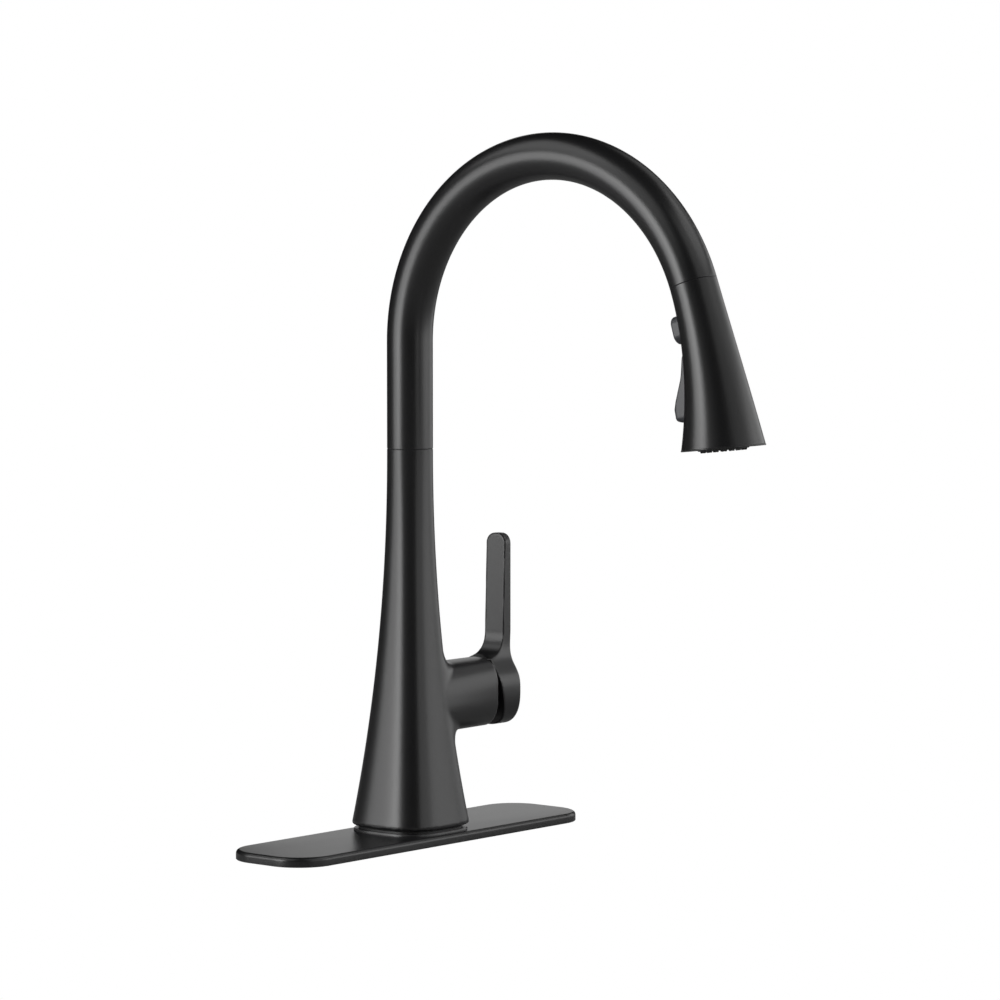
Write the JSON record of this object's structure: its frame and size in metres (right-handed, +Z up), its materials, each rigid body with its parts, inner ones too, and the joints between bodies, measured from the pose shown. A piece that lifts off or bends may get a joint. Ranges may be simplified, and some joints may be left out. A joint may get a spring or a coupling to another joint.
{
  "type": "pull-down kitchen faucet",
  "caption": "Single-lever kitchen faucet with a tapered body on a deck plate, a high arched spout and a pull-out spray head with a push button and a rocker.",
  "frame": {"origin": "on the column's axis, in the plane of the counter that the deck plate rests on", "axes": "+Z up along the column, the spout reaches toward -Y, the lever is on the +X side"},
  "size_m": [0.2604, 0.2876, 0.5012],
  "materials": {
    "black_metal": "matte black",
    "black_trim": "matte black plastic",
    "button": "satin charcoal",
    "face_rubber": "matte",
    "rubber": "matte",
    "red_seal": "matte",
    "brass": "machined",
    "copper": "drawn",
    "steel": "brushed",
    "ceramic": "polished",
    "white_plastic": "moulded",
    "braid": "braided nylon"
  },
  "bodies": {
    "root": {"deck_plate": "black_metal", "plate_base": "black_trim", "deck_gasket": "rubber", "base_ring": "black_trim", "body": "black_metal", "shank": "brass", "shank_rubber_washer": "rubber", "shank_steel_washer": "steel", "mounting_nut": "brass", "outlet_tube": "copper", "outlet_fitting": "brass", "hose_connector": "brass", "hose_in_body": "braid", "upper_bushing": "white_plastic", "lower_bushing": "white_plastic", "glide_ring": "black_trim", "port_seal": "red_seal", "cartridge_housing": "white_plastic", "fixed_disc": "ceramic", "bonnet_nut": "brass", "bonnet_cap": "rubber"},
    "spout": {"spout_tube": "black_metal", "spout_spigot": "brass", "spout_clip": "steel", "dock_collar": "black_trim", "dock_magnet": "steel", "hose_in_spout": "braid"},
    "hose_end": {"hose_dock_run": "braid", "hose_ferrule": "steel", "swivel_ball": "brass"},
    "spray_head": {"docking_neck": "black_trim", "keeper_ring": "steel", "head_shell": "black_metal", "head_trim": "black_trim", "waterway": "black_trim", "spray_face": "face_rubber", "spray_nozzles": "face_rubber", "aerator": "face_rubber", "check_valve": "white_plastic", "boost_spring": "steel", "toggle_pin": "steel"},
    "boost": {"boost_button": "button", "boost_plunger": "steel"},
    "toggle": {"spray_toggle": "button"},
    "diverter": {"diverter_spool": "brass"},
    "turret": {"turret": "white_plastic", "pivot_pin": "steel"},
    "lever": {"stem": "steel", "lever_handle": "black_metal", "set_screw": "steel", "screw_plug": "black_trim"},
    "disc": {"moving_disc": "ceramic", "disc_carrier": "white_plastic"}
  },
  "joints": [
    {"name": "spout_swivel", "type": "hinge", "parent": "root", "child": "spout", "pos_m": [0, 0, 0.232], "axis": [0, 0, 1], "continuous": true},
    {"name": "head_pull", "type": "slide", "parent": "spout", "child": "hose_end", "axis": [0, -0.342, -0.9397], "range_m": [0, 0.25], "stiffness_N_per_m": 10, "springref_m": -0.7, "deforming": ["hose_dock_run"]},
    {"name": "head_turn", "type": "hinge", "parent": "hose_end", "child": "spray_head", "pos_m": [0, -0.21007, 0.33244], "axis": [0, -0.342, -0.9397], "continuous": true},
    {"name": "boost_press", "type": "slide", "parent": "spray_head", "child": "boost", "axis": [0, -0.9577, 0.2879], "range_m": [0, 0.0018], "stiffness_N_per_m": 900, "springref_m": -0.001, "deforming": ["boost_spring"]},
    {"name": "toggle_rock", "type": "hinge", "parent": "spray_head", "child": "toggle", "pos_m": [0, -0.21544, 0.27753], "axis": [-1, 0, 0], "range_deg": [0, 8]},
    {"name": "diverter_slide", "type": "slide", "parent": "spray_head", "child": "diverter", "axis": [0, -0.9781, 0.2082], "range_m": [0, 0.0016]},
    {"name": "temperature", "type": "hinge", "parent": "root", "child": "turret", "pos_m": [0.05, 0, 0.0826], "axis": [1, 0, 0], "range_deg": [-45, 45]},
    {"name": "flow", "type": "hinge", "parent": "turret", "child": "lever", "pos_m": [0.05, 0, 0.0826], "axis": [0, 1, 0], "range_deg": [0, 20]},
    {"name": "disc_slide", "type": "slide", "parent": "turret", "child": "disc", "axis": [0, 0, 1], "range_m": [0, 0.0029]}
  ],
  "couplings": [
    {"joint": "diverter_slide", "follows": "toggle_rock", "m_per_rad": 0.01},
    {"joint": "disc_slide", "follows": "flow", "m_per_rad": 0.008}
  ]
}
